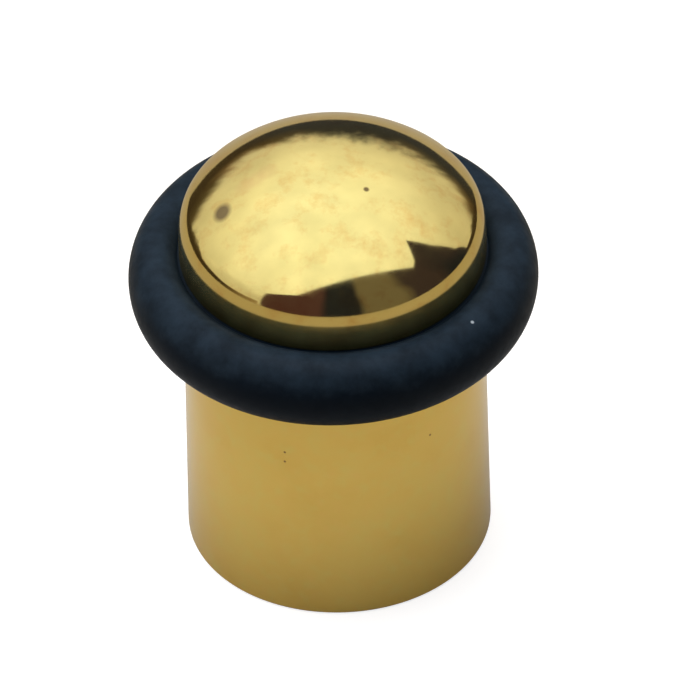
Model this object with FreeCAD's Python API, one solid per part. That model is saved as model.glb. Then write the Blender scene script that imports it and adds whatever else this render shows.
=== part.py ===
# Floor-fixed door stop: a turned brass pedestal, a push-on domed cap and a rubber buffer ring held
# in the groove between them. One screw, reached with the cap off, holds it to a plug in the floor.
#
# Millimetres, +Z up. The origin is the centre of the base on the finished floor, so the plug and the
# screw's thread lie below zero. Every piece but the screw's cross recess and the plug's slit is a
# solid of revolution about the Z axis.
import FreeCAD, Part
import math
import os

# ---- Brass body -------------------------------------------------------------------------------
BASE_RADIUS = 15.0            # the wall narrows very slightly upwards
BODY_TOP_RADIUS = 14.85       # at the ring's groove
BASE_EDGE = 0.3               # rounding of the bottom edge
SHOULDER_EDGE = 0.2           # edge break where the wall meets the groove
GROOVE_BOTTOM = 28.15         # height of the shoulder that the ring stands on
GROOVE_WIDTH = 6.2
NECK_RADIUS = 12.5            # the neck carries the ring and the cap
NECK_TOP = 39.5
NECK_CHAMFER = 0.4
WELL_RADIUS = 8.5             # well that the screw and the screwdriver go down
WELL_FLOOR = 7.0              # top of the web that the screw clamps
WELL_CHAMFER = 0.6
SCREW_HOLE_RADIUS = 2.8

# ---- Domed cap --------------------------------------------------------------------------------
CAP_RADIUS = 15.15
CAP_WALL_TOP = 37.4           # where the straight wall starts to turn in
CAP_EDGE_RADIUS = 4.2         # rounding between the wall and the dome
CAP_DOME_RADIUS = 19.4
CAP_RIM_EDGE = 0.2
CAP_RIM_CHAMFER = 0.3         # lead-in of the socket
CAP_SOCKET_CLEARANCE = 0.06   # radial, on the neck

# ---- Rubber buffer ring -----------------------------------------------------------------------
RING_BULB_CENTRE = 17.2       # radius of the bulb's centre
RING_BULB_WIDTH = 3.0         # half the bulb's width, measured along the radius
RING_BULB_HEIGHT = 3.93       # half the bulb's height
RING_CLEARANCE = 0.05         # on every side of the tongue, so that the ring can be turned

# ---- O-ring that grips the cap ----------------------------------------------------------------
O_RING_HEIGHT = 36.8          # height of its mid-plane
O_RING_GROOVE_DEPTH = 1.3
O_RING_GROOVE_WIDTH = 1.9
O_RING_HALF_HEIGHT = 0.85     # half the squeezed section's height
O_RING_PROUD = 0.03           # how far it stands out of the neck

# ---- Screw and washer -------------------------------------------------------------------------
WASHER_THICKNESS = 1.2
WASHER_RADIUS = 7.5
WASHER_HOLE_RADIUS = 2.65
SCREW_LENGTH = 50.0           # under the head
SHANK_RADIUS = 2.3
SHANK_LENGTH = 12.0
THREAD_CREST_RADIUS = 2.5
THREAD_ROOT_RADIUS = 1.7
THREAD_PITCH = 2.2
POINT_LENGTH = 5.0
HEAD_RADIUS = 4.75
HEAD_SIDE = 1.5               # height of the head's upright side
HEAD_HEIGHT = 3.6
HEAD_CHEEK_OUT = 0.68         # the head's dome passes through this share of its radius
HEAD_CHEEK_UP = 0.73          # at this share of the dome's own height
RECESS_SPAN = 4.8
RECESS_SLOT = 1.1
RECESS_DEPTH = 2.2
RECESS_CORE_RADIUS = 1.2

# ---- Floor plug -------------------------------------------------------------------------------
PLUG_RADIUS = 4.0
PLUG_LENGTH = 40.0
PLUG_BORE_RADIUS = 2.55
PLUG_NOSE_LENGTH = 2.0
PLUG_NOSE_RADIUS = 3.3
PLUG_SLIT_WIDTH = 1.0
PLUG_SLIT_LENGTH = 26.0
PLUG_GROOVE_DEPTH = 0.35
PLUG_GROOVE_WIDTH = 1.2
PLUG_GROOVE_SPACING = 5.0
PLUG_GROOVE_COUNT = 5
PLUG_FIRST_GROOVE = 9.0       # below the floor

# ---- Non-slip pad -----------------------------------------------------------------------------
PAD_RADIUS = 13.0
PAD_THICKNESS = 0.8
PAD_HOLE_RADIUS = 2.9
PAD_CLEARANCE = 0.1           # radial, in its recess

# ---- Worked out from the above ----------------------------------------------------------------
GROOVE_TOP = GROOVE_BOTTOM + GROOVE_WIDTH
GROOVE_MIDDLE = GROOVE_BOTTOM + GROOVE_WIDTH / 2
SCREW_SEAT = WELL_FLOOR + WASHER_THICKNESS
ORIGIN = FreeCAD.Vector(0, 0, 0)
UP = FreeCAD.Vector(0, 0, 1)


def at(radius, height):
    """A point of an outline, which lies in the XZ plane."""
    return FreeCAD.Vector(radius, 0, height)


def straight(points):
    """Edges that join (radius, height) points in order."""
    ends = [at(*point) for point in points]
    return [Part.makeLine(a, b) for a, b in zip(ends, ends[1:])]


def arc(start, middle, end):
    """A circular edge through three (radius, height) points."""
    return Part.Arc(at(*start), at(*middle), at(*end)).toShape()


def turned(edges):
    """The solid that a closed run of edges sweeps out about the Z axis."""
    face = Part.Face(Part.Wire(edges))
    return face.revolve(ORIGIN, UP, 360)


def corner_arc(centre, radius, first, last):
    """A circular edge about a (radius, height) centre; angles in degrees, from +X towards +Z."""
    def on_circle(angle):
        turn = math.radians(angle)
        return (centre[0] + radius * math.cos(turn), centre[1] + radius * math.sin(turn))
    return arc(on_circle(first), on_circle((first + last) / 2), on_circle(last))


def make_body():
    """Pedestal, neck and screw well, turned from bar in one piece."""
    recess_radius = PAD_RADIUS + PAD_CLEARANCE
    base_centre = (BASE_RADIUS - BASE_EDGE, BASE_EDGE)
    shoulder_centre = (BODY_TOP_RADIUS - SHOULDER_EDGE, GROOVE_BOTTOM - SHOULDER_EDGE)
    groove_root = NECK_RADIUS - O_RING_GROOVE_DEPTH
    groove_low = O_RING_HEIGHT - O_RING_GROOVE_WIDTH / 2
    groove_high = O_RING_HEIGHT + O_RING_GROOVE_WIDTH / 2
    edges = straight([
        (SCREW_HOLE_RADIUS, PAD_THICKNESS),
        (recess_radius, PAD_THICKNESS),
        (recess_radius, 0),
        (BASE_RADIUS - BASE_EDGE, 0),
    ])
    edges.append(corner_arc(base_centre, BASE_EDGE, -90, 0))
    edges += straight([
        (BASE_RADIUS, BASE_EDGE),
        (BODY_TOP_RADIUS, GROOVE_BOTTOM - SHOULDER_EDGE),
    ])
    edges.append(corner_arc(shoulder_centre, SHOULDER_EDGE, 0, 90))
    edges += straight([
        (BODY_TOP_RADIUS - SHOULDER_EDGE, GROOVE_BOTTOM),
        (NECK_RADIUS, GROOVE_BOTTOM),
        (NECK_RADIUS, groove_low),
        (groove_root, groove_low),
        (groove_root, groove_high),
        (NECK_RADIUS, groove_high),
        (NECK_RADIUS, NECK_TOP - NECK_CHAMFER),
        (NECK_RADIUS - NECK_CHAMFER, NECK_TOP),
        (WELL_RADIUS + WELL_CHAMFER, NECK_TOP),
        (WELL_RADIUS, NECK_TOP - WELL_CHAMFER),
        (WELL_RADIUS, WELL_FLOOR),
        (SCREW_HOLE_RADIUS, WELL_FLOOR),
        (SCREW_HOLE_RADIUS, PAD_THICKNESS),
    ])
    return turned(edges)


def make_cap():
    """Solid domed cap with a flat-bottomed socket that seats on the top of the neck."""
    socket_radius = NECK_RADIUS + CAP_SOCKET_CLEARANCE
    edge_centre = (CAP_RADIUS - CAP_EDGE_RADIUS, CAP_WALL_TOP)
    rim_centre = (CAP_RADIUS - CAP_RIM_EDGE, GROOVE_TOP + CAP_RIM_EDGE)
    # The edge's arc lies inside the dome's and is tangent to it, so the line through their centres
    # passes through the point where they meet.
    centre_gap = CAP_DOME_RADIUS - CAP_EDGE_RADIUS
    dome_centre = (0, CAP_WALL_TOP - math.sqrt(centre_gap ** 2 - edge_centre[0] ** 2))
    meeting_angle = math.degrees(math.acos(edge_centre[0] / centre_gap))
    crown = dome_centre[1] + CAP_DOME_RADIUS
    edges = straight([
        (0, NECK_TOP),
        (socket_radius, NECK_TOP),
        (socket_radius, GROOVE_TOP + CAP_RIM_CHAMFER),
        (socket_radius + CAP_RIM_CHAMFER, GROOVE_TOP),
        (CAP_RADIUS - CAP_RIM_EDGE, GROOVE_TOP),
    ])
    edges.append(corner_arc(rim_centre, CAP_RIM_EDGE, -90, 0))
    edges += straight([(CAP_RADIUS, GROOVE_TOP + CAP_RIM_EDGE), (CAP_RADIUS, CAP_WALL_TOP)])
    edges.append(corner_arc(edge_centre, CAP_EDGE_RADIUS, 0, meeting_angle))
    edges.append(corner_arc(dome_centre, CAP_DOME_RADIUS, meeting_angle, 90))
    edges += straight([(0, crown), (0, NECK_TOP)])
    return turned(edges)


def make_buffer_ring():
    """Rubber ring: an upright oval bulb outside the brass, on a flat tongue that fills the groove."""
    hole_radius = NECK_RADIUS + RING_CLEARANCE
    body_side = BODY_TOP_RADIUS + RING_CLEARANCE
    low = GROOVE_BOTTOM + RING_CLEARANCE
    high = GROOVE_TOP - RING_CLEARANCE
    oval = Part.Ellipse(
        at(RING_BULB_CENTRE, GROOVE_MIDDLE + RING_BULB_HEIGHT),
        at(RING_BULB_CENTRE + RING_BULB_WIDTH, GROOVE_MIDDLE),
        at(RING_BULB_CENTRE, GROOVE_MIDDLE),
    )
    # The bulb ends on the tongue's flat top, and below at the body's wall. The angles run from
    # straight up, outwards.
    top_angle = math.acos((high - GROOVE_MIDDLE) / RING_BULB_HEIGHT)
    body_angle = math.asin((RING_BULB_CENTRE - body_side) / RING_BULB_WIDTH)
    edges = [Part.ArcOfEllipse(oval, -top_angle, math.pi + body_angle).toShape()]
    edges += straight([
        (body_side, GROOVE_MIDDLE - RING_BULB_HEIGHT * math.cos(body_angle)),
        (body_side, low),
        (hole_radius, low),
        (hole_radius, high),
        (RING_BULB_CENTRE - RING_BULB_WIDTH * math.sin(top_angle), high),
    ])
    return turned(edges)


def make_o_ring():
    """Small O-ring in the neck, squeezed to an oval by the cap's socket."""
    outer = NECK_RADIUS + O_RING_PROUD
    inner = NECK_RADIUS - O_RING_GROOVE_DEPTH
    centre = (outer + inner) / 2
    section = Part.Ellipse(
        at(centre, O_RING_HEIGHT + O_RING_HALF_HEIGHT),
        at(outer, O_RING_HEIGHT),
        at(centre, O_RING_HEIGHT),
    )
    return turned([section.toShape()])


def make_washer():
    """Plain washer under the screw's head."""
    return turned(straight([
        (WASHER_HOLE_RADIUS, WELL_FLOOR),
        (WASHER_RADIUS, WELL_FLOOR),
        (WASHER_RADIUS, SCREW_SEAT),
        (WASHER_HOLE_RADIUS, SCREW_SEAT),
        (WASHER_HOLE_RADIUS, WELL_FLOOR),
    ]))


def make_screw():
    """Pan-head wood screw with a cross recess. The thread is a row of ridges one pitch apart."""
    tip = SCREW_SEAT - SCREW_LENGTH
    thread_top = SCREW_SEAT - SHANK_LENGTH
    thread_bottom = tip + POINT_LENGTH
    ridges = int((thread_top - thread_bottom) / THREAD_PITCH)
    points = [(0, tip), (THREAD_ROOT_RADIUS, thread_bottom)]
    for ridge in range(ridges):
        low = thread_bottom + ridge * THREAD_PITCH
        points.append((THREAD_CREST_RADIUS, low + THREAD_PITCH / 2))
        points.append((THREAD_ROOT_RADIUS, low + THREAD_PITCH))
    points += [
        (SHANK_RADIUS, thread_top),
        (SHANK_RADIUS, SCREW_SEAT),
        (HEAD_RADIUS, SCREW_SEAT),
        (HEAD_RADIUS, SCREW_SEAT + HEAD_SIDE),
    ]
    crown = SCREW_SEAT + HEAD_HEIGHT
    dome_height = HEAD_HEIGHT - HEAD_SIDE
    cheek = (HEAD_RADIUS * HEAD_CHEEK_OUT, crown - dome_height * (1 - HEAD_CHEEK_UP))
    edges = straight(points)
    edges.append(arc(points[-1], cheek, (0, crown)))
    edges += straight([(0, crown), (0, tip)])
    return turned(edges).cut(cross_recess(crown))


def cross_recess(crown):
    """Tool that cuts the cross-shaped driver recess down from the top of the head."""
    above = 1.0
    floor = crown - RECESS_DEPTH
    corner = FreeCAD.Vector(-RECESS_SPAN / 2, -RECESS_SLOT / 2, floor)
    slot = Part.makeBox(RECESS_SPAN, RECESS_SLOT, RECESS_DEPTH + above, corner)
    crossed = slot.copy()
    crossed.rotate(ORIGIN, UP, 90)
    core = Part.makeCylinder(RECESS_CORE_RADIUS, RECESS_DEPTH + above, FreeCAD.Vector(0, 0, floor))
    return slot.fuse([crossed, core])


def make_plug():
    """Nylon expansion plug, flush with the floor, slit from its lower end so that it can spread."""
    points = [
        (PLUG_BORE_RADIUS, -PLUG_LENGTH),
        (PLUG_BORE_RADIUS, 0),
        (PLUG_RADIUS, 0),
    ]
    for groove in range(PLUG_GROOVE_COUNT):
        top = -PLUG_FIRST_GROOVE - groove * PLUG_GROOVE_SPACING
        root = PLUG_RADIUS - PLUG_GROOVE_DEPTH
        points += [
            (PLUG_RADIUS, top),
            (root, top),
            (root, top - PLUG_GROOVE_WIDTH),
            (PLUG_RADIUS, top - PLUG_GROOVE_WIDTH),
        ]
    points += [
        (PLUG_RADIUS, PLUG_NOSE_LENGTH - PLUG_LENGTH),
        (PLUG_NOSE_RADIUS, -PLUG_LENGTH),
        (PLUG_BORE_RADIUS, -PLUG_LENGTH),
    ]
    slit_length = 2 * (PLUG_RADIUS + PLUG_SLIT_WIDTH)
    corner = FreeCAD.Vector(-slit_length / 2, -PLUG_SLIT_WIDTH / 2, -PLUG_LENGTH)
    slit = Part.makeBox(slit_length, PLUG_SLIT_WIDTH, PLUG_SLIT_LENGTH, corner)
    return turned(straight(points)).cut(slit)


def make_pad():
    """Thin rubber disc let into the base, flush with the brass rim around it."""
    return turned(straight([
        (PAD_HOLE_RADIUS, 0),
        (PAD_RADIUS, 0),
        (PAD_RADIUS, PAD_THICKNESS),
        (PAD_HOLE_RADIUS, PAD_THICKNESS),
        (PAD_HOLE_RADIUS, 0),
    ]))


def export(name, shape):
    """Write one piece, after checking that it is one sound closed solid."""
    solid = shape.Solids[0]
    if not shape.isValid() or len(shape.Solids) != 1:
        raise RuntimeError(name + " is not one valid solid")
    solid.exportStep("parts/" + name + ".step")
    print(name, "volume", round(solid.Volume, 1), "mm3, height", round(solid.BoundBox.ZMin, 2),
          "to", round(solid.BoundBox.ZMax, 2))


os.makedirs("parts", exist_ok=True)
export("body", make_body())
export("dome_cap", make_cap())
export("buffer_ring", make_buffer_ring())
export("cap_o_ring", make_o_ring())
export("fixing_screw", make_screw())
export("screw_washer", make_washer())
export("floor_plug", make_plug())
export("base_pad", make_pad())
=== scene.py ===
import math

import bmesh
import bpy
from mathutils import Matrix, Vector


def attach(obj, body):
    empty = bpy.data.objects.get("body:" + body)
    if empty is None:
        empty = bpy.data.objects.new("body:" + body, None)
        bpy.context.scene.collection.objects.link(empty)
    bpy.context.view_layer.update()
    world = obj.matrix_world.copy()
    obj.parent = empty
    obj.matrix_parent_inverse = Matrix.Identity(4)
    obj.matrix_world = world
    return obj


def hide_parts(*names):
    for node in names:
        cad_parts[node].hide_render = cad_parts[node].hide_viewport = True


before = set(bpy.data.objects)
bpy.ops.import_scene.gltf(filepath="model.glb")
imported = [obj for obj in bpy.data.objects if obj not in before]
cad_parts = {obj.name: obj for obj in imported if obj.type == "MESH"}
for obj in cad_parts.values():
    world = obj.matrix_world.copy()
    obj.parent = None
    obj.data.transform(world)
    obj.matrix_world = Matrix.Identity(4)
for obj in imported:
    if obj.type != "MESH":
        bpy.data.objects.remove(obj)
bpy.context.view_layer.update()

MM = 0.001

# ---- Sizes of the pieces, in millimetres, as the CAD solids have them -------------------------
BASE_RADIUS = 15.0
BODY_TOP_RADIUS = 14.85
GROOVE_BOTTOM = 28.15         # the ring's groove
GROOVE_WIDTH = 6.2
NECK_RADIUS = 12.5            # the neck carries the ring and the cap
NECK_TOP = 39.5
WELL_RADIUS = 8.5             # well that the screw goes down
WELL_FLOOR = 7.0
SCREW_HOLE_RADIUS = 2.8
PAD_RADIUS = 13.0
PAD_HOLE_RADIUS = 2.9
PAD_THICKNESS = 0.8
PAD_CLEARANCE = 0.1

CAP_RADIUS = 15.15
CAP_WALL_TOP = 37.4           # where the straight wall starts to turn in
CAP_EDGE_RADIUS = 4.2         # rounding between the wall and the dome
CAP_DOME_RADIUS = 19.4
CAP_SOCKET_CLEARANCE = 0.06

RING_BULB_CENTRE = 17.2       # radius of the bulb's centre
RING_BULB_WIDTH = 3.0         # half the bulb's width
RING_BULB_HEIGHT = 3.93       # half the bulb's height
RING_CLEARANCE = 0.05

O_RING_HEIGHT = 36.8          # height of its mid-plane
O_RING_GROOVE_DEPTH = 1.3
O_RING_GROOVE_WIDTH = 1.9
O_RING_HALF_HEIGHT = 0.85
O_RING_PROUD = 0.03           # how far it stands out of the neck

WASHER_HOLE_RADIUS = 2.65
WASHER_RADIUS = 7.5
WASHER_THICKNESS = 1.2

SCREW_LENGTH = 50.0
SHANK_RADIUS = 2.3
SHANK_LENGTH = 12.0
THREAD_CREST_RADIUS = 2.5
THREAD_ROOT_RADIUS = 1.7
THREAD_PITCH = 2.2
POINT_LENGTH = 5.0
HEAD_RADIUS = 4.75
HEAD_SIDE = 1.5
HEAD_HEIGHT = 3.6
RECESS_SPAN = 4.8
RECESS_SLOT = 1.1
RECESS_DEPTH = 2.2

PLUG_RADIUS = 4.0
PLUG_LENGTH = 40.0
PLUG_BORE_RADIUS = 2.55
PLUG_NOSE_LENGTH = 2.0
PLUG_NOSE_RADIUS = 3.3
PLUG_SLIT_WIDTH = 1.0
PLUG_SLIT_LENGTH = 26.0
PLUG_GROOVE_DEPTH = 0.35
PLUG_GROOVE_WIDTH = 1.2
PLUG_GROOVE_SPACING = 5.0
PLUG_GROOVE_COUNT = 5
PLUG_FIRST_GROOVE = 9.0

SCREW_SEAT = WELL_FLOOR + WASHER_THICKNESS
GROOVE_TOP = GROOVE_BOTTOM + GROOVE_WIDTH
GROOVE_MIDDLE = (GROOVE_BOTTOM + GROOVE_TOP) / 2
CAP_SOCKET_RADIUS = NECK_RADIUS + CAP_SOCKET_CLEARANCE
O_RING_GROOVE_ROOT = NECK_RADIUS - O_RING_GROOVE_DEPTH
O_RING_OUTER_RADIUS = NECK_RADIUS + O_RING_PROUD

# ---- The screw's thread, point and recess, which are finer here than in the CAD solid ---------
POINT_BULGE = 0.8             # exponent of the point's taper: below 1 it bulges
THREAD_RIDGE_HALF = 0.3       # half the ridge's width, as a share of the pitch
THREAD_FULL_AT = 0.9          # share of the point over which the ridge grows
THREAD_RUNOUT = 0.6           # height of the slope from the thread's root to the shank
RECESS_TAPER = 0.62           # the recess's floor, as a share of its mouth

# ---- Roundings of the edges, in millimetres ---------------------------------------------------
BASE_EDGE = 0.3
SHOULDER_EDGE = 0.2
NECK_TOP_EDGE = 0.5
WELL_MOUTH_EDGE = 0.6
WELL_FLOOR_EDGE = 0.3
CAP_RIM_EDGE = 0.2
CAP_MOUTH_EDGE = 0.3
TONGUE_EDGE = 0.2
WASHER_TOP_EDGE = 0.35
WASHER_HOLE_EDGE = 0.25
SCREW_EDGE = 0.2
HEAD_FILLET = 0.25            # where the shank meets the head
PLUG_MOUTH_EDGE = 0.2
PLUG_NOSE_EDGE = 0.3
EASED_EDGE = 0.15
PLAIN_EDGE = 0.1
FINE_EDGE = 0.08
CUT_EDGE = 0.05

# ---- Mesh quality -----------------------------------------------------------------------------
FINE_SEGMENTS = 320           # round the body, the cap and the buffer ring
SEGMENTS = 192                # round the O-ring, the washer and the pad
PLUG_SEGMENTS = 128
SCREW_SEGMENTS = 96
CORNER_STEPS = 6              # steps in a rounded corner
CAP_EDGE_STEPS = 40
DOME_STEPS = 80
BULB_STEPS = 96
O_RING_STEPS = 32
CROWN_STEPS = 24
THREAD_STEPS = 16             # rows to one turn of the thread
SUPPORT = 0.05                # distance of the extra loop beside a corner, in millimetres
RECESS_MARGIN = 0.2           # how far the tool of a cut reaches past the surface
SLIT_MARGIN = 1.0
ON_AXIS = 1e-6                # a smaller radius is a single point on the axis
SHARP_ANGLE = math.radians(32)

# ---- Mesh building ----------------------------------------------------------------------------


def corner_points(before, corner, after, radius):
    """Points of a rounded corner with a close loop on each side, so that flats shade flat."""
    here = Vector(corner)
    to_before = Vector(before) - here
    to_after = Vector(after) - here
    a, b = to_before.normalized(), to_after.normalized()
    half = a.angle(b) / 2
    reach = radius / math.tan(half)
    bisector = (a + b).normalized()
    centre = here + bisector * (radius / math.sin(half))
    start, end = here + a * reach, here + b * reach
    points = []
    if to_before.length > reach + 3 * SUPPORT:
        points.append(start + a * SUPPORT)
    first, last = start - centre, end - centre
    turn = first.angle(last)
    for step in range(CORNER_STEPS + 1):
        share = step / CORNER_STEPS
        mix = first * math.sin((1 - share) * turn) + last * math.sin(share * turn)
        points.append(centre + mix / math.sin(turn))
    if to_after.length > reach + 3 * SUPPORT:
        points.append(end + b * SUPPORT)
    return [tuple(p) for p in points]


def rounded(corners):
    """Closed outline from (radius, height, rounding) corners; a rounding of 0 keeps the point."""
    points = []
    count = len(corners)
    for i, (r, z, rounding) in enumerate(corners):
        if rounding:
            before, after = corners[i - 1], corners[(i + 1) % count]
            points += corner_points(before[:2], (r, z), after[:2], rounding)
        else:
            points.append((r, z))
    return points


def arc_points(centre, width, height, first, last, steps):
    """Points of an ellipse about a (radius, height) centre; angles in degrees from outwards to up."""
    points = []
    for step in range(steps + 1):
        angle = math.radians(first + (last - first) * step / steps)
        points.append((centre[0] + width * math.cos(angle), centre[1] + height * math.sin(angle)))
    return points


def turned(name, outline, segments=SEGMENTS, shape=None):
    """Object swept about the Z axis from a closed (radius, height) outline in millimetres.

    shape(radius, height, angle) may return another radius, as for a thread."""
    mesh = bmesh.new()
    rows = []
    for r, z in outline:
        if r < ON_AXIS:
            rows.append([mesh.verts.new((0, 0, z * MM))])
            continue
        row = []
        for i in range(segments):
            angle = 2 * math.pi * i / segments
            radius = shape(r, z, angle) if shape else r
            row.append(mesh.verts.new((
                radius * math.cos(angle) * MM, radius * math.sin(angle) * MM, z * MM)))
        rows.append(row)
    for i, low in enumerate(rows):
        high = rows[(i + 1) % len(rows)]
        if len(low) == 1 and len(high) == 1:
            continue
        for k in range(segments):
            n = (k + 1) % segments
            if len(low) == 1:
                mesh.faces.new((low[0], high[n], high[k]))
            elif len(high) == 1:
                mesh.faces.new((low[k], low[n], high[0]))
            else:
                mesh.faces.new((low[k], low[n], high[n], high[k]))
    bmesh.ops.recalc_face_normals(mesh, faces=mesh.faces)
    return finished(name, mesh)


def shade(data):
    """Shade a mesh smooth but for its real edges."""
    data.shade_smooth()
    data.set_sharp_from_angle(angle=SHARP_ANGLE)


def finished(name, mesh):
    """Object from a bmesh."""
    data = bpy.data.meshes.new(name)
    mesh.to_mesh(data)
    mesh.free()
    shade(data)
    item = bpy.data.objects.new(name, data)
    bpy.context.scene.collection.objects.link(item)
    return item


def prism(name, bottom, top):
    """Object between two (x, y, z) loops with the same number of points, in millimetres."""
    mesh = bmesh.new()
    low = [mesh.verts.new(Vector(p) * MM) for p in bottom]
    high = [mesh.verts.new(Vector(p) * MM) for p in top]
    mesh.faces.new(low)
    mesh.faces.new(high)
    for i in range(len(low)):
        n = (i + 1) % len(low)
        mesh.faces.new((low[i], low[n], high[n], high[i]))
    bmesh.ops.recalc_face_normals(mesh, faces=mesh.faces)
    return finished(name, mesh)


def cut_away(item, tool):
    """Take the tool's space out of item, and delete the tool."""
    step = item.modifiers.new("cut", "BOOLEAN")
    step.operation = "DIFFERENCE"
    step.solver = "EXACT"
    step.object = tool
    bpy.context.view_layer.update()
    ready = item.evaluated_get(bpy.context.evaluated_depsgraph_get())
    data = bpy.data.meshes.new_from_object(ready)
    item.modifiers.clear()
    item.data = data
    shade(data)
    bpy.data.objects.remove(tool)
    return item


# ---- The pieces -------------------------------------------------------------------------------


def make_body():
    """Pedestal, neck and screw well in one turned piece."""
    groove_low = O_RING_HEIGHT - O_RING_GROOVE_WIDTH / 2
    groove_high = O_RING_HEIGHT + O_RING_GROOVE_WIDTH / 2
    recess_radius = PAD_RADIUS + PAD_CLEARANCE
    return turned("body_turned", rounded([
        (SCREW_HOLE_RADIUS, PAD_THICKNESS, PLAIN_EDGE),
        (recess_radius, PAD_THICKNESS, PLAIN_EDGE),
        (recess_radius, 0, PLAIN_EDGE),
        (BASE_RADIUS, 0, BASE_EDGE),
        (BODY_TOP_RADIUS, GROOVE_BOTTOM, SHOULDER_EDGE),
        (NECK_RADIUS, GROOVE_BOTTOM, PLAIN_EDGE),
        (NECK_RADIUS, groove_low, FINE_EDGE),
        (O_RING_GROOVE_ROOT, groove_low, PLAIN_EDGE),
        (O_RING_GROOVE_ROOT, groove_high, PLAIN_EDGE),
        (NECK_RADIUS, groove_high, FINE_EDGE),
        (NECK_RADIUS, NECK_TOP, NECK_TOP_EDGE),
        (WELL_RADIUS, NECK_TOP, WELL_MOUTH_EDGE),
        (WELL_RADIUS, WELL_FLOOR, WELL_FLOOR_EDGE),
        (SCREW_HOLE_RADIUS, WELL_FLOOR, EASED_EDGE),
    ]), FINE_SEGMENTS)


def make_cap():
    """Solid domed cap with its socket."""
    # The edge's arc is tangent to the dome's, so the line through their centres passes through the
    # point where they meet.
    edge_centre = (CAP_RADIUS - CAP_EDGE_RADIUS, CAP_WALL_TOP)
    gap = CAP_DOME_RADIUS - CAP_EDGE_RADIUS
    dome_centre = (0, CAP_WALL_TOP - math.sqrt(gap ** 2 - edge_centre[0] ** 2))
    meeting = math.degrees(math.acos(edge_centre[0] / gap))
    rim = rounded([
        (0, NECK_TOP, 0),
        (CAP_SOCKET_RADIUS, NECK_TOP, EASED_EDGE),
        (CAP_SOCKET_RADIUS, GROOVE_TOP, CAP_MOUTH_EDGE),
        (CAP_RADIUS, GROOVE_TOP, CAP_RIM_EDGE),
        (CAP_RADIUS, CAP_WALL_TOP - SUPPORT, 0),
    ])
    edge = arc_points(edge_centre, CAP_EDGE_RADIUS, CAP_EDGE_RADIUS, 0, meeting, CAP_EDGE_STEPS)
    dome = arc_points(dome_centre, CAP_DOME_RADIUS, CAP_DOME_RADIUS, meeting, 90, DOME_STEPS)
    return turned("cap_domed", rim + edge + dome[1:-1] + [(0, dome[-1][1])], FINE_SEGMENTS)


def make_ring():
    """Rubber buffer ring: the bulb and the tongue that fills the groove."""
    body_side = BODY_TOP_RADIUS + RING_CLEARANCE
    hole = NECK_RADIUS + RING_CLEARANCE
    high = GROOVE_TOP - RING_CLEARANCE
    top_angle = math.degrees(math.acos((high - GROOVE_MIDDLE) / RING_BULB_HEIGHT))
    body_angle = math.degrees(math.asin((RING_BULB_CENTRE - body_side) / RING_BULB_WIDTH))
    bulb = arc_points((RING_BULB_CENTRE, GROOVE_MIDDLE), RING_BULB_WIDTH, RING_BULB_HEIGHT,
                      90 + top_angle, -90 - body_angle, BULB_STEPS)
    tongue = rounded([
        (*bulb[-1], 0),
        (body_side, GROOVE_BOTTOM + RING_CLEARANCE, PLAIN_EDGE),
        (hole, GROOVE_BOTTOM + RING_CLEARANCE, TONGUE_EDGE),
        (hole, high, TONGUE_EDGE),
        (*bulb[0], 0),
    ])
    return turned("ring_moulded", bulb + tongue[1:-1], FINE_SEGMENTS)


def make_o_ring():
    """O-ring that grips the cap, squeezed to an oval."""
    middle = (O_RING_OUTER_RADIUS + O_RING_GROOVE_ROOT) / 2
    width = (O_RING_OUTER_RADIUS - O_RING_GROOVE_ROOT) / 2
    section = arc_points((middle, O_RING_HEIGHT), width, O_RING_HALF_HEIGHT, 0, 360, O_RING_STEPS)
    return turned("o_ring", section[:-1])


def make_washer():
    """Stamped washer: one face rounded over, the other with a crisp edge."""
    return turned("washer_stamped", rounded([
        (WASHER_HOLE_RADIUS, WELL_FLOOR, FINE_EDGE),
        (WASHER_RADIUS, WELL_FLOOR, FINE_EDGE),
        (WASHER_RADIUS, SCREW_SEAT, WASHER_TOP_EDGE),
        (WASHER_HOLE_RADIUS, SCREW_SEAT, WASHER_HOLE_EDGE),
    ]))


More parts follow.
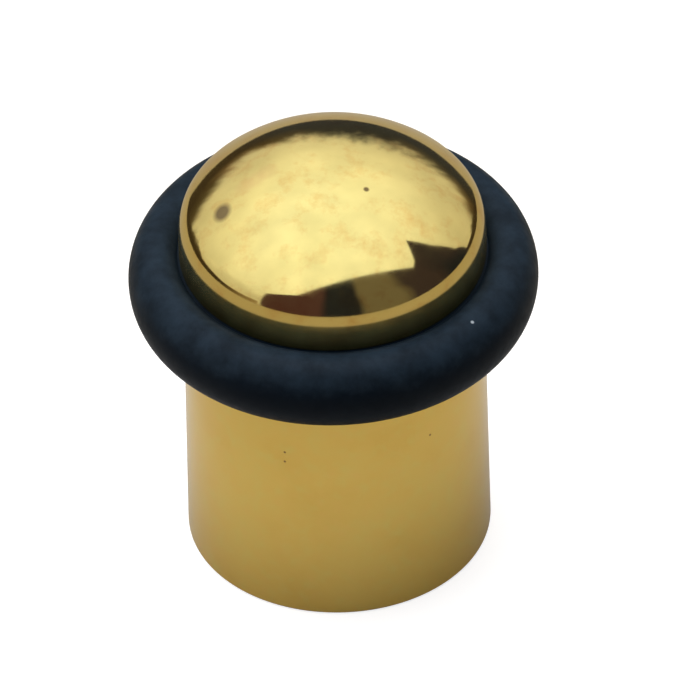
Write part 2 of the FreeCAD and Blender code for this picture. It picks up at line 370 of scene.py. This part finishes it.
def make_screw():
    """Pan-head wood screw with a real helical thread and a cross recess."""
    tip = SCREW_SEAT - SCREW_LENGTH
    thread_top = SCREW_SEAT - SHANK_LENGTH
    crown = SCREW_SEAT + HEAD_HEIGHT
    step = THREAD_PITCH / THREAD_STEPS
    rows = int((thread_top - tip) / step)
    ridge_height = THREAD_CREST_RADIUS - THREAD_ROOT_RADIUS

    def core(z):
        """Radius at the thread's root, narrowing to the point."""
        return THREAD_ROOT_RADIUS * min(1, ((z - tip) / POINT_LENGTH) ** POINT_BULGE)

    def with_thread(r, z, angle):
        """The root radius with the ridge that winds round it added."""
        if z >= thread_top or z <= tip + step / 2:
            return r
        turn = (z / THREAD_PITCH - angle / (2 * math.pi)) % 1
        ridge = max(0, 1 - abs(turn - 0.5) / THREAD_RIDGE_HALF)
        grow = min(1, (z - tip) / (POINT_LENGTH * THREAD_FULL_AT))
        fade = min(1, (thread_top - z) / THREAD_PITCH)
        return r + ridge_height * ridge * grow * fade

    outline = [(0, tip)]
    outline += [(core(tip + step * i), tip + step * i) for i in range(1, rows)]
    outline += rounded([
        (THREAD_ROOT_RADIUS, thread_top, 0),
        (SHANK_RADIUS, thread_top + THREAD_RUNOUT, SCREW_EDGE),
        (SHANK_RADIUS, SCREW_SEAT, HEAD_FILLET),
        (HEAD_RADIUS, SCREW_SEAT, SCREW_EDGE),
        (HEAD_RADIUS, SCREW_SEAT + HEAD_SIDE, 0),
    ])
    dome_foot = (0, SCREW_SEAT + HEAD_SIDE)
    dome = arc_points(dome_foot, HEAD_RADIUS, HEAD_HEIGHT - HEAD_SIDE, 0, 90, CROWN_STEPS)
    outline += dome[1:-1] + [(0, crown)]
    screw = turned("screw_threaded", outline, SCREW_SEGMENTS, with_thread)
    arm, side = RECESS_SPAN / 2, RECESS_SLOT / 2
    cross = [(arm, -side), (arm, side), (side, side), (side, arm), (-side, arm), (-side, side),
             (-arm, side), (-arm, -side), (-side, -side), (-side, -arm), (side, -arm),
             (side, -side)]
    floor = crown - RECESS_DEPTH
    recess = prism(
        "recess",
        [(x * RECESS_TAPER, y * RECESS_TAPER, floor) for x, y in cross],
        [(x, y, crown + RECESS_MARGIN) for x, y in cross],
    )
    return cut_away(screw, recess)


def make_plug():
    """Nylon expansion plug with its grip grooves and slit."""
    corners = [
        (PLUG_BORE_RADIUS, -PLUG_LENGTH, PLAIN_EDGE),
        (PLUG_BORE_RADIUS, 0, PLUG_MOUTH_EDGE),
        (PLUG_RADIUS, 0, EASED_EDGE),
    ]
    root = PLUG_RADIUS - PLUG_GROOVE_DEPTH
    for groove in range(PLUG_GROOVE_COUNT):
        top = -PLUG_FIRST_GROOVE - groove * PLUG_GROOVE_SPACING
        corners += [
            (PLUG_RADIUS, top, FINE_EDGE),
            (root, top, FINE_EDGE),
            (root, top - PLUG_GROOVE_WIDTH, FINE_EDGE),
            (PLUG_RADIUS, top - PLUG_GROOVE_WIDTH, FINE_EDGE),
        ]
    corners += [
        (PLUG_RADIUS, PLUG_NOSE_LENGTH - PLUG_LENGTH, PLUG_NOSE_EDGE),
        (PLUG_NOSE_RADIUS, -PLUG_LENGTH, EASED_EDGE),
    ]
    plug = turned("plug_moulded", rounded(corners), PLUG_SEGMENTS)
    far, half = PLUG_RADIUS + SLIT_MARGIN, PLUG_SLIT_WIDTH / 2
    loop = [(-far, -half), (far, -half), (far, half), (-far, half)]
    slit = prism(
        "slit",
        [(x, y, -PLUG_LENGTH - SLIT_MARGIN) for x, y in loop],
        [(x, y, PLUG_SLIT_LENGTH - PLUG_LENGTH) for x, y in loop],
    )
    return cut_away(plug, slit)


def make_pad():
    """Thin rubber disc let into the base."""
    return turned("pad_cut", rounded([
        (PAD_HOLE_RADIUS, 0, PLAIN_EDGE),
        (PAD_RADIUS, 0, PLAIN_EDGE),
        (PAD_RADIUS, PAD_THICKNESS, CUT_EDGE),
        (PAD_HOLE_RADIUS, PAD_THICKNESS, CUT_EDGE),
    ]))


# ---- Materials --------------------------------------------------------------------------------
# Small marks on the surfaces: places and radii in millimetres.
BODY_PITS = [(-5.24, -13.95, 19.2), (-5.22, -13.95, 20.4), (9.11, -11.78, 20.3)]
BODY_PIT_RADIUS = 0.17
CAP_PIT = (3.44, -3.95, 45.54)
CAP_PIT_RADIUS = 0.36
# a dark brown spot on the dome's left side
CAP_DARK_SPOT = (-10.74, -3.49, 42.63)
CAP_DARK_SPOT_RADIUS = 1.25
CAP_SMEAR = [(-8.5, -1.5, 44.2), (-7.4, -1.1, 44.8), (-6.2, -0.5, 45.2)]
CAP_SMEAR_RADIUS = 1.3
CAP_SMEAR_STRENGTH = 0.35
RING_SPECK = (13.51, -12.05, 35.04)        # a speck of dust
RING_SPECK_RADIUS = 0.22

WALL_POLISH_TOP = 37.0        # the soft polish of the cap's wall gives way to the dome's mirror
DOME_POLISH_FOOT = 39.0       # between these heights
PAINTED_SHEEN_FOOT = 32.3             # the ring's painted sheen on its upper side gives way to painted shade below, between these heights
PAINTED_SHEEN_TOP = 33.7
GAP_SHADE_INNER = 15.3          # and painted shade darkens the gap by the cap between these distances from the axis
GAP_SHADE_OUTER = 16.3

# Painted lit and shaded copies of the ring's rubber: a paler grey-blue for the painted sheen on top,
# near black for the painted shade
RING_PAINTED_SHEEN = (0.0100, 0.0170, 0.0250)
RING_PAINTED_SHADE = (0.0018, 0.0050, 0.0100)
RUBBER_SHINE = 0.06           # specular level
NOISE_SPREAD = (0.3, 0.7)     # nearly all of a noise's values lie in here


def new_node(tree, kind, **properties):
    """Node with its properties set."""
    node = tree.nodes.new(kind)
    for key, value in properties.items():
        setattr(node, key, value)
    return node


def vector_step(tree, operation, vector, fixed=(0, 0, 0)):
    """Node that does one step of arithmetic on a vector output and a fixed vector."""
    node = new_node(tree, "ShaderNodeVectorMath", operation=operation)
    node.inputs[1].default_value = fixed
    tree.links.new(vector, node.inputs[0])
    return node


def number_step(tree, operation, first, second):
    """Two number outputs put through one step of arithmetic."""
    node = new_node(tree, "ShaderNodeMath", operation=operation)
    tree.links.new(first, node.inputs[0])
    tree.links.new(second, node.inputs[1])
    return node.outputs["Value"]


def noise_value(tree, vector, scale, detail, roughness=0.5):
    """Noise with about scale features to a unit of the vector."""
    node = new_node(tree, "ShaderNodeTexNoise")
    node.inputs["Scale"].default_value = scale
    node.inputs["Detail"].default_value = detail
    node.inputs["Roughness"].default_value = roughness
    tree.links.new(vector, node.inputs["Vector"])
    return node.outputs["Fac"]


def mapped(tree, value, low, high, new_low=0, new_high=1, curve="LINEAR"):
    """value mapped from one range to another, and held inside it."""
    node = new_node(tree, "ShaderNodeMapRange", interpolation_type=curve)
    for key, number in (("From Min", low), ("From Max", high),
                        ("To Min", new_low), ("To Max", new_high)):
        node.inputs[key].default_value = number
    tree.links.new(value, node.inputs["Value"])
    return node.outputs["Result"]


def colour_mix(tree, share):
    """The first input, second input and output of a node that mixes two colours by share."""
    node = new_node(tree, "ShaderNodeMix", data_type="RGBA")
    tree.links.new(share, node.inputs["Factor"])
    first, second = [socket for socket in node.inputs if socket.type == "RGBA"]
    result = [socket for socket in node.outputs if socket.type == "RGBA"][0]
    return first, second, result


def blended(tree, share, first, second):
    """Colour output that goes from first to second as share goes from 0 to 1."""
    low, high, result = colour_mix(tree, share)
    low.default_value = (*first, 1)
    high.default_value = (*second, 1)
    return result


class Finish:
    """A node material being put together. Patterns are laid out in the object's own millimetres."""

    def __init__(self, name, **inputs):
        self.material = bpy.data.materials.new(name)
        self.material.use_nodes = True
        self.tree = self.material.node_tree
        self.shader = self.tree.nodes["Principled BSDF"]
        for key, value in inputs.items():
            self.shader.inputs[key.replace("_", " ")].default_value = value
        place = new_node(self.tree, "ShaderNodeTexCoord")
        per_metre = 1 / MM
        scaled = vector_step(self.tree, "MULTIPLY", place.outputs["Object"], (per_metre,) * 3)
        self.millimetres = scaled.outputs["Vector"]

    def stretched(self, x, y, z):
        """The millimetre coordinates times a factor on each axis."""
        return vector_step(self.tree, "MULTIPLY", self.millimetres, (x, y, z)).outputs["Vector"]

    def axis(self, name):
        """One of the millimetre coordinates, X, Y or Z."""
        node = new_node(self.tree, "ShaderNodeSeparateXYZ")
        self.tree.links.new(self.millimetres, node.inputs[0])
        return node.outputs[name]

    def from_axis(self):
        """Distance from the object's Z axis in millimetres."""
        return vector_step(self.tree, "LENGTH", self.stretched(1, 1, 0)).outputs["Value"]

    def near(self, point, radius):
        """1 close to a point in the object's frame, and 0 from radius millimetres outwards."""
        away = vector_step(self.tree, "DISTANCE", self.millimetres, point).outputs["Value"]
        return self.ranged(away, radius / 2, radius, 1, 0)

    def noise(self, scale, detail=3.0, roughness=0.5, vector=None):
        """Noise with about scale features to the millimetre."""
        return noise_value(self.tree, vector or self.millimetres, scale, detail, roughness)

    def ranged(self, value, low, high, new_low, new_high):
        """value mapped from one range to another, and held inside it."""
        return mapped(self.tree, value, low, high, new_low, new_high)

    def varied(self, low, high, scale, detail=3.0, roughness=0.5):
        """Noise that wanders between low and high."""
        return self.ranged(self.noise(scale, detail, roughness), *NOISE_SPREAD, low, high)

    def added(self, first, second):
        """The sum of two outputs."""
        return number_step(self.tree, "ADD", first, second)

    def colours(self, value, *stops):
        """A ramp of (position, (r, g, b)) stops."""
        node = new_node(self.tree, "ShaderNodeValToRGB")
        points = node.color_ramp.elements
        while len(points) < len(stops):
            points.new(0.5)
        for point, (position, colour) in zip(points, stops):
            point.position = position
            point.color = (*colour, 1)
        self.tree.links.new(value, node.inputs["Fac"])
        return node.outputs["Color"]

    def mixed(self, share, first, second):
        """first, an output, where share is 0 and second, a fixed colour, where it is 1."""
        low, high, result = colour_mix(self.tree, share)
        self.tree.links.new(first, low)
        high.default_value = (*second, 1)
        return result

    def drive(self, socket, value):
        """Feed one of the shader's sockets."""
        self.tree.links.new(value, self.shader.inputs[socket])

    def relief(self, strength, *heights):
        """Bumps, each a (height output, depth in millimetres)."""
        normal = None
        for height, depth in heights:
            node = new_node(self.tree, "ShaderNodeBump")
            node.inputs["Strength"].default_value = strength
            node.inputs["Distance"].default_value = depth * MM
            self.tree.links.new(height, node.inputs["Height"])
            if normal:
                self.tree.links.new(normal, node.inputs["Normal"])
            normal = node.outputs["Normal"]
        self.drive("Normal", normal)


def polished_brass():
    """Lacquered brass wall: fine turning lines under a soft polish, with a few tiny pits."""
    f = Finish("polished_brass", Metallic=1.0)
    cloud = f.noise(0.16, 4.0, 0.6)
    gold = f.colours(cloud, (0.3, (0.76, 0.51, 0.118)), (0.5, (0.79, 0.54, 0.13)),
                     (0.7, (0.78, 0.56, 0.14)))
    green = f.ranged(f.noise(0.7, 3.0, 0.6), 0.5, 0.72, 0, 0.5)
    gold = f.mixed(green, gold, (0.73, 0.60, 0.16))
    orange = f.ranged(f.noise(0.9, 3.0, 0.6, f.stretched(1, -1, 1.3)), 0.52, 0.75, 0, 0.5)
    gold = f.mixed(orange, gold, (0.83, 0.52, 0.14))
    for pit in BODY_PITS:
        gold = f.mixed(f.near(pit, BODY_PIT_RADIUS), gold, (0.26, 0.15, 0.06))
    f.drive("Base Color", gold)
    lines = f.noise(1.0, 4.0, 0.6, f.stretched(0.05, 0.05, 9.0))
    f.drive("Roughness", f.ranged(lines, *NOISE_SPREAD, 0.15, 0.22))
    f.relief(0.25, (lines, 0.003), (f.noise(1.4, 2.0), 0.004))
    return f.material


def mirror_brass():
    """Mirror-polished dome over a wall that keeps the softer polish of the body."""
    f = Finish("mirror_brass", Metallic=1.0)
    gold = f.colours(f.noise(0.12, 3.0), (0.3, (0.80, 0.61, 0.20)), (0.7, (0.84, 0.65, 0.225)))
    smudge = f.ranged(f.noise(0.38, 6.0, 0.7), 0.50, 0.70, 0, 0.9)
    gold = f.mixed(smudge, gold, (0.745, 0.475, 0.14))
    gold = f.mixed(f.near(CAP_PIT, CAP_PIT_RADIUS), gold, (0.20, 0.13, 0.05))
    # the dark brown spot on the dome's left side
    gold = f.mixed(f.near(CAP_DARK_SPOT, CAP_DARK_SPOT_RADIUS), gold, (0.24, 0.165, 0.07))
    for place in CAP_SMEAR:
        smear = f.ranged(f.near(place, CAP_SMEAR_RADIUS), 0, 1, 0, CAP_SMEAR_STRENGTH)
        gold = f.mixed(smear, gold, (0.70, 0.44, 0.16))
    f.drive("Base Color", gold)
    wall = f.ranged(f.axis("Z"), WALL_POLISH_TOP, DOME_POLISH_FOOT, 0.15, 0)
    dome = f.ranged(f.noise(0.5, 5.0, 0.65), 0.35, 0.75, 0.06, 0.11)
    f.drive("Roughness", f.added(wall, dome))
    f.relief(0.2, (f.noise(0.35, 2.0), 0.012))
    return f.material


def rubber_skin(name, rough, grain):
    """Moulded rubber's dull skin with fine grain, still without its colour."""
    f = Finish(name, Metallic=0.0, Specular_IOR_Level=RUBBER_SHINE)
    f.drive("Roughness", f.varied(rough - 0.05, rough + 0.06, 1.2, 4.0, 0.6))
    f.relief(0.5, (f.noise(grain, 3.0, 0.7), 0.012), (f.noise(0.8, 3.0), 0.02))
    return f


def rubber_colour(f, tint):
    """The tint of rubber in darker and paler clouds."""
    deep = tuple(c * 0.7 for c in tint)
    pale = tuple(c * 1.4 for c in tint)
    return f.colours(f.noise(0.35, 5.0, 0.65), (0.35, deep), (0.68, pale))


def black_rubber(name, tint, rough, grain):
    """Moulded rubber with faint clouds."""
    f = rubber_skin(name, rough, grain)
    f.drive("Base Color", rubber_colour(f, tint))
    return f.material


def painted_shade_rubber():
    """The buffer ring's rubber with painted light: a paler grey-blue painted sheen on its upper side,
    and painted shade in black below and in the gap.
    """
    f = rubber_skin("ring_rubber", 0.45, 3.0)
    height = f.added(f.axis("Z"), f.varied(-0.5, 0.5, 0.6, 4.0, 0.6))
    # painted shade below the upper side's painted sheen
    below = f.ranged(height, PAINTED_SHEEN_FOOT, PAINTED_SHEEN_TOP, 0.8, 0)
    # painted shade in the gap next to the cap
    within = f.ranged(f.from_axis(), GAP_SHADE_INNER, GAP_SHADE_OUTER, 0.65, 0)
    colour = f.mixed(below, rubber_colour(f, RING_PAINTED_SHEEN), RING_PAINTED_SHADE)
    colour = f.mixed(within, colour, RING_PAINTED_SHADE)
    colour = f.mixed(f.near(RING_SPECK, RING_SPECK_RADIUS), colour, (0.33, 0.36, 0.38))
    f.drive("Base Color", colour)
    return f.material


def zinc_plate():
    """Bright zinc plating with its faint blue and straw clouds."""
    f = Finish("zinc_plate", Metallic=1.0)
    cloud = f.noise(0.45, 4.0, 0.6)
    f.drive("Base Color", f.colours(cloud, (0.3, (0.52, 0.57, 0.63)), (0.55, (0.66, 0.67, 0.68)),
                                    (0.75, (0.68, 0.66, 0.58))))
    f.drive("Roughness", f.varied(0.22, 0.38, 3.0, 5.0, 0.7))
    f.relief(0.4, (f.noise(5.0, 3.0), 0.01))
    return f.material


def moulded_nylon():
    """Grey nylon with a faint moulding texture."""
    f = Finish("moulded_nylon", Metallic=0.0)
    cloud = f.noise(0.3, 4.0, 0.6)
    f.drive("Base Color", f.colours(cloud, (0.3, (0.30, 0.31, 0.32)), (0.7, (0.36, 0.37, 0.375))))
    f.drive("Roughness", f.varied(0.38, 0.5, 2.0, 3.0))
    f.relief(0.4, (f.noise(4.0, 2.0), 0.012))
    return f.material


# ---- Studio: floor, light, dark cards and camera ----------------------------------------------
# Directions are (azimuth, elevation) in degrees. Azimuth 0 is +Y, behind the object, and 90 is +X.
FLOOR_RADIUS = 0.33           # metres
FLOOR_SIDES = 96
FLOOR_NEAR = 0.015            # painted pool of light: the floor's colour darkens between these distances from the axis
FLOOR_FAR = 0.08
# Painted light on the floor: paler near the object for a painted pool of lamp light, with a warm cast
# of painted bounce light from the brass, and a darker tan further out
FLOOR_PAINTED_LIGHT_NEAR = (0.515, 0.485, 0.465)
FLOOR_PAINTED_LIGHT_FAR = (0.33, 0.28, 0.205)
FLOOR_ROUGHNESS = 0.9
FLOOR_LIFT = 0.72             # light added where the camera looks at the floor

LAMP_PLACE = (-0.20, 0.20, 1.5)
LAMP_SIZE = 1.2
LAMP_POWER = 16
BRIGHTEST = (270, 84)         # the direction that the soft light is strongest in
SKY_SPAN = (0.1, 0.97)        # it rises between these cosines of the angle from there
SKY_STRENGTH = (0.68, 1.28)   # from the first of these strengths to the second
CLOUD_SCALE = 4.0
CLOUD_DETAIL = 3.0
CLOUD_STRENGTH = (0.90, 1.08)
SIDE_LIGHT = (1.0, 0.985, 0.95)
OVERHEAD_LIGHT = (0.93, 1.04, 1.18)
BACKDROP = 1.1                # how bright the camera sees what lies beyond the floor

# Upright dark cards give the polished cap its dark accents. Their directions are as seen from the
# cap, and each column of a card is (azimuth, height, colour at its foot, colour at its top).
SURROUND_CENTRE = Vector((0, 0, 0.042))
CARD_FOOT = -22
SLATE = (0.040, 0.044, 0.060)
BROWN = (0.052, 0.040, 0.028)
MIST = (0.15, 0.125, 0.085)
HAZE = (0.34, 0.27, 0.19)
MAROON = (0.080, 0.042, 0.058)
INK = (0.016, 0.020, 0.038)
OLIVE = (0.160, 0.145, 0.125)
DUSK = (0.045, 0.035, 0.052)

# The back card curves round the object and has a torn upper edge.
BACK_CARD_DISTANCE = 9.0      # metres
BACK_CARD = [
    (233, 3, HAZE, HAZE), (262, 1, BROWN, HAZE), (284, 4, BROWN, HAZE), (298, 15, BROWN, MIST),
    (312, 12, BROWN, MIST), (326, 16, BROWN, MIST), (340, 14, BROWN, HAZE), (352, 23, SLATE, MIST),
    (374, 30, SLATE, SLATE), (392, 18, SLATE, MIST), (404, 12, BROWN, HAZE), (416, 12, BROWN, MIST),
    (426, 2, BROWN, BROWN), (434, 0, BROWN, BROWN),
]
TEAR_STRETCH = (5.0, 5.0, 1.1)
TEAR_SCALE = 0.33
TEAR_DETAIL = 5.0
TEAR_ROUGHNESS = 0.65
TEAR_START = 0.80             # share of the height plus noise where the card starts to thin
TEAR_END = 1.42               # and where it is gone

# The front card is flat, with a level upper edge.
FRONT_CARD_DISTANCE = 7.0
FRONT_CARD_FACING = 162
FRONT_CARD_TOP = 56.5
FRONT_CARD_COLOURS = [(231, MAROON), (191, MAROON), (185, INK), (163, INK), (158, OLIVE),
                      (130, OLIVE), (121, DUSK), (103, DUSK)]

# The side card is flat too, with one raised corner.
SIDE_CARD_DISTANCE = 5.0
SIDE_CARD_FACING = 95
SIDE_CARD = [(71, -6, DUSK, DUSK), (75, 19, INK, DUSK), (84, 36, INK, DUSK), (90, 50, INK, DUSK),
             (102, 42, DUSK, DUSK), (112, 39, DUSK, DUSK)]

CAMERA_ELEVATION = 40.73
CAMERA_ROLL = 1.46            # the object leans this far to the left
CAMERA_DISTANCE = 2.4
CAMERA_LENS = 1250.0
SENSOR_WIDTH = 36.0
AIM_HEIGHT = 19.75            # millimetres
AIM_RIGHT = 1.412
AIM_UP = 1.313


def towards(azimuth, elevation):
    """Unit vector of a direction given in degrees."""
    a, e = math.radians(azimuth), math.radians(elevation)
    return Vector((math.sin(a) * math.cos(e), math.cos(a) * math.cos(e), math.sin(e)))


def stage_mesh(name, points, faces, material):
    """Mesh that belongs to the studio."""
    data = bpy.data.meshes.new(name)
    data.from_pydata(points, [], faces)
    data.materials.append(material)
    item = bpy.data.objects.new(name, data)
    bpy.context.scene.collection.objects.link(item)
    return item


def card_material(name):
    """Emission in the mesh's own colours."""
    material = bpy.data.materials.new(name)
    material.use_nodes = True
    tree = material.node_tree
    tree.nodes.clear()
    tint = new_node(tree, "ShaderNodeAttribute", attribute_name="tint")
    light = new_node(tree, "ShaderNodeEmission")
    tree.links.new(tint.outputs["Color"], light.inputs["Color"])
    out = new_node(tree, "ShaderNodeOutputMaterial")
    tree.links.new(light.outputs["Emission"], out.inputs["Surface"])
    return material


def torn_card_material(name):
    """Emission in the mesh's own colours, torn along the mesh's upper edge."""
    material = card_material(name)
    tree = material.node_tree
    rise = new_node(tree, "ShaderNodeAttribute", attribute_name="rise")
    place = new_node(tree, "ShaderNodeTexCoord")
    streaks = vector_step(tree, "MULTIPLY", place.outputs["Object"], TEAR_STRETCH)
    noise = noise_value(tree, streaks.outputs["Vector"], TEAR_SCALE, TEAR_DETAIL, TEAR_ROUGHNESS)
    total = number_step(tree, "ADD", rise.outputs["Fac"], noise)
    gone = mapped(tree, total, TEAR_START, TEAR_END, curve="SMOOTHSTEP")
    clear = new_node(tree, "ShaderNodeBsdfTransparent")
    mix = new_node(tree, "ShaderNodeMixShader")
    tree.links.new(gone, mix.inputs["Fac"])
    tree.links.new(tree.nodes["Emission"].outputs["Emission"], mix.inputs[1])
    tree.links.new(clear.outputs["BSDF"], mix.inputs[2])
    tree.links.new(mix.outputs["Shader"], tree.nodes["Material Output"].inputs["Surface"])
    return material


def make_card(name, columns, distance, material, facing=None):
    """Upright card, seen in polished metal and nowhere else.

    It is flat and square to the azimuth that it is facing, or curves round the object."""
    points, tints, rises = [], [], []
    for azimuth, top, foot_colour, top_colour in columns:
        for elevation, rise, colour in ((CARD_FOOT, 0, foot_colour), (min(0, top), 0, foot_colour),
                                        (top, 1, top_colour)):
            direction = towards(azimuth, elevation)
            reach = distance if facing is None else distance / direction.dot(towards(facing, 0))
            points.append(SURROUND_CENTRE + direction * reach)
            tints.append((*colour, 1))
            rises.append(rise)
    faces = []
    for i in range(len(columns) - 1):
        for k in (3 * i, 3 * i + 1):
            faces.append((k, k + 3, k + 4, k + 1))
    item = stage_mesh(name, points, faces, material)
    tint = item.data.attributes.new("tint", "FLOAT_COLOR", "POINT")
    for value, colour in zip(tint.data, tints):
        value.color = colour
    rise = item.data.attributes.new("rise", "FLOAT", "POINT")
    for value, share in zip(rise.data, rises):
        value.value = share
    item.visible_camera = False
    item.visible_transmission = False
    item.visible_shadow = False


def make_cards():
    """The dark cards round the object."""
    make_card("back_card", BACK_CARD, BACK_CARD_DISTANCE, torn_card_material("back_card"))
    front = []
    slope = math.tan(math.radians(FRONT_CARD_TOP))
    for azimuth, colour in FRONT_CARD_COLOURS:
        aside = math.radians(azimuth - FRONT_CARD_FACING)
        height = math.degrees(math.atan(slope * math.cos(aside)))
        front.append((azimuth, height, colour, colour))
    plain = card_material("plain_card")
    make_card("front_card", front, FRONT_CARD_DISTANCE, plain, FRONT_CARD_FACING)
    make_card("side_card", SIDE_CARD, SIDE_CARD_DISTANCE, plain, SIDE_CARD_FACING)


def make_floor():
    """Round pale floor with a painted pool of light round the object. The camera sees it brighter
    than the metal does.
    """
    material = bpy.data.materials.new("floor")
    material.use_nodes = True
    tree = material.node_tree
    shader = tree.nodes["Principled BSDF"]
    place = new_node(tree, "ShaderNodeTexCoord")
    away = vector_step(tree, "LENGTH", place.outputs["Object"]).outputs["Value"]
    # painted pool of light: the floor's colour darkens away from the object
    share = mapped(tree, away, FLOOR_NEAR, FLOOR_FAR, curve="SMOOTHSTEP")
    tree.links.new(blended(tree, share, FLOOR_PAINTED_LIGHT_NEAR, FLOOR_PAINTED_LIGHT_FAR), shader.inputs["Base Color"])
    shader.inputs["Roughness"].default_value = FLOOR_ROUGHNESS
    shader.inputs["Specular IOR Level"].default_value = 0.0
    shader.inputs["Emission Color"].default_value = (1, 1, 1, 1)
    ray = new_node(tree, "ShaderNodeLightPath")
    lift = mapped(tree, ray.outputs["Is Camera Ray"], 0, 1, 0, FLOOR_LIFT)
    tree.links.new(lift, shader.inputs["Emission Strength"])
    points = [towards(360 * i / FLOOR_SIDES, 0) * FLOOR_RADIUS for i in range(FLOOR_SIDES)]
    stage_mesh("floor", points, [tuple(reversed(range(FLOOR_SIDES)))], material)


def make_light():
    """Pale surroundings, brighter overhead, and one soft lamp."""
    world = bpy.data.worlds.new("studio")
    bpy.context.scene.world = world
    world.use_nodes = True
    tree = world.node_tree
    background = tree.nodes["Background"]
    direction = new_node(tree, "ShaderNodeTexCoord").outputs["Generated"]
    facing = vector_step(tree, "DOT_PRODUCT", direction, towards(*BRIGHTEST)).outputs["Value"]
    overhead = mapped(tree, facing, *SKY_SPAN, *SKY_STRENGTH, curve="SMOOTHSTEP")
    clouds = noise_value(tree, direction, CLOUD_SCALE, CLOUD_DETAIL)
    clouds = mapped(tree, clouds, *NOISE_SPREAD, *CLOUD_STRENGTH)
    ray = new_node(tree, "ShaderNodeLightPath")
    seen = new_node(tree, "ShaderNodeMix")
    tree.links.new(ray.outputs["Is Camera Ray"], seen.inputs["Factor"])
    tree.links.new(number_step(tree, "MULTIPLY", overhead, clouds), seen.inputs["A"])
    seen.inputs["B"].default_value = BACKDROP
    tree.links.new(seen.outputs["Result"], background.inputs["Strength"])
    tint = blended(tree, facing, SIDE_LIGHT, OVERHEAD_LIGHT)
    tree.links.new(tint, background.inputs["Color"])
    lamp = bpy.data.lights.new("soft_lamp", "AREA")
    lamp.shape = "DISK"
    lamp.size = LAMP_SIZE
    lamp.energy = LAMP_POWER
    item = bpy.data.objects.new("soft_lamp", lamp)
    item.location = LAMP_PLACE
    item.rotation_euler = (-item.location).to_track_quat("-Z", "Y").to_euler()
    item.visible_glossy = False
    bpy.context.scene.collection.objects.link(item)


def make_camera():
    """Long lens, looking down at the object from the front."""
    elevation, roll = math.radians(CAMERA_ELEVATION), math.radians(CAMERA_ROLL)
    backwards = Vector((0, -math.cos(elevation), math.sin(elevation)))
    level_up = Vector((0, math.sin(elevation), math.cos(elevation)))
    level_right = Vector((1, 0, 0))
    up = level_up * math.cos(roll) + level_right * math.sin(roll)
    right = level_right * math.cos(roll) - level_up * math.sin(roll)
    aim = Vector((0, 0, AIM_HEIGHT * MM)) + (right * AIM_RIGHT + up * AIM_UP) * MM
    data = bpy.data.cameras.new("camera")
    data.lens = CAMERA_LENS
    data.sensor_width = SENSOR_WIDTH
    item = bpy.data.objects.new("camera", data)
    bpy.context.scene.collection.objects.link(item)
    turn = Matrix((right, up, backwards)).transposed().to_4x4()
    item.matrix_world = Matrix.Translation(aim + backwards * CAMERA_DISTANCE) @ turn
    bpy.context.scene.camera = item


# ---- Put together -----------------------------------------------------------------------------
O_RING_BLACK = (0.012, 0.012, 0.012)
PAD_BLACK = (0.020, 0.020, 0.021)
PIECES = [
    (make_body, "body", "pedestal", "polished_brass", polished_brass()),
    (make_cap, "dome_cap", "cap", "mirror_brass", mirror_brass()),
    (make_ring, "buffer_ring", "ring", "black_rubber", painted_shade_rubber()),
    (make_o_ring, "cap_o_ring", "pedestal", "o_ring_rubber",
     black_rubber("o_ring_rubber", O_RING_BLACK, 0.4, 4.0)),
    (make_screw, "fixing_screw", "pedestal", "zinc_plated_steel", zinc_plate()),
    (make_washer, "screw_washer", "pedestal", "zinc_plated_steel", zinc_plate()),
    (make_plug, "floor_plug", "pedestal", "grey_nylon", moulded_nylon()),
    (make_pad, "base_pad", "pedestal", "pad_rubber",
     black_rubber("pad_rubber", PAD_BLACK, 0.7, 2.0)),
]
for make, node, body, slot, material in PIECES:
    piece = make()
    piece.data.materials.clear()
    piece.data.materials.append(material)
    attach(piece, body)
    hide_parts(node)

make_floor()
make_cards()
make_light()
make_camera()
bpy.context.scene.view_settings.view_transform = "Standard"
